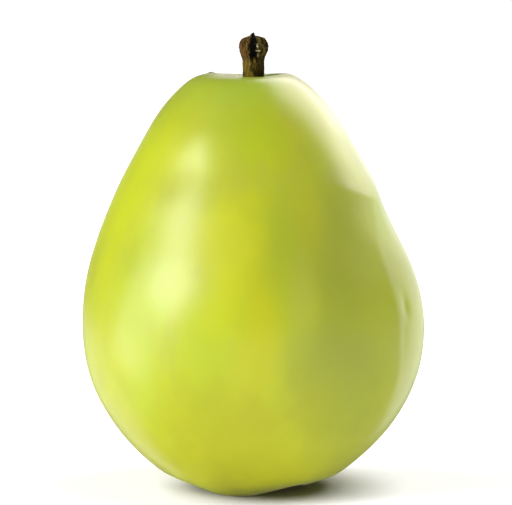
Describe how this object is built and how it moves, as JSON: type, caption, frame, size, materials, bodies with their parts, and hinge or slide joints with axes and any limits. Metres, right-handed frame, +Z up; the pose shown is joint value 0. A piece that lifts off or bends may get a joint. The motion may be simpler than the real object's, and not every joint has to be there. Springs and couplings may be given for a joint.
{
  "type": "pear",
  "caption": "Green dessert pear with a wide belly, sloping shoulders, a short woody stem and a dried calyx in its basin, standing upright.",
  "frame": {"origin": "centre of the outline seen from above, on the surface that the pear stands on", "axes": "+Z up along the core towards the stem, -Y towards the viewer of the front, +X to the right seen from the front"},
  "size_m": [0.0764, 0.0746, 0.1017],
  "materials": {
    "pear_skin": "satin",
    "stem_wood": "matte",
    "dried_calyx": "matte"
  },
  "bodies": {
    "root": {"fruit": "pear_skin", "stem": "stem_wood", "calyx": "dried_calyx"}
  },
  "joints": []
}
